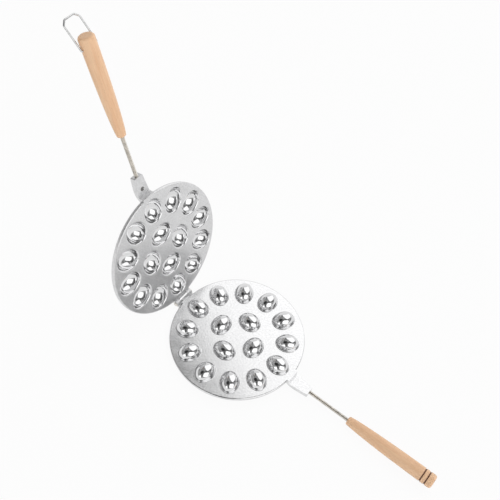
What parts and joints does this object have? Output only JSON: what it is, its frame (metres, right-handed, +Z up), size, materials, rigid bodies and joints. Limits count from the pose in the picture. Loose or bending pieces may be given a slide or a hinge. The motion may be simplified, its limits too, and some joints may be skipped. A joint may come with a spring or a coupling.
{
  "type": "walnut cookie mold",
  "caption": "Stovetop mold for nut-shaped cookies: a plate of bumps and a plate of bowls on one hinge, each with a steel rod and a wooden grip, latched by a wire bail.",
  "frame": {"origin": "the surface that the open mold stands on, under the middle of its overall length and width", "axes": "+X along the bump half's handle, +Y along the hinge axis, +Z up"},
  "size_m": [0.5602, 0.18, 0.3938],
  "materials": {
    "cast_aluminium": "satin machined faces, polished nut forms",
    "plated_steel": "dull zinc plating",
    "beech": "turned, clear oiled",
    "bail_wire": "bright drawn wire"
  },
  "bodies": {
    "bump_half": {"bump_plate": "cast_aluminium", "bump_rod": "plated_steel", "bump_screw": "plated_steel", "bump_grip": "beech"},
    "cavity_half": {"cavity_plate": "cast_aluminium", "cavity_rod": "plated_steel", "cavity_screw": "plated_steel", "cavity_grip": "beech", "hinge_pin": "plated_steel"},
    "bail": {"wire_bail": "bail_wire"}
  },
  "joints": [
    {"name": "plate_hinge", "type": "hinge", "parent": "bump_half", "child": "cavity_half", "pos_m": [-0.12024, 0, 0.0062], "axis": [0, 1, 0], "range_deg": [0, 105.2]},
    {"name": "bail_pivot", "type": "hinge", "parent": "cavity_half", "child": "bail", "pos_m": [-0.25334, 0, 0.36984], "axis": [0, 1, 0], "range_deg": [-130.7, 189.3]}
  ]
}
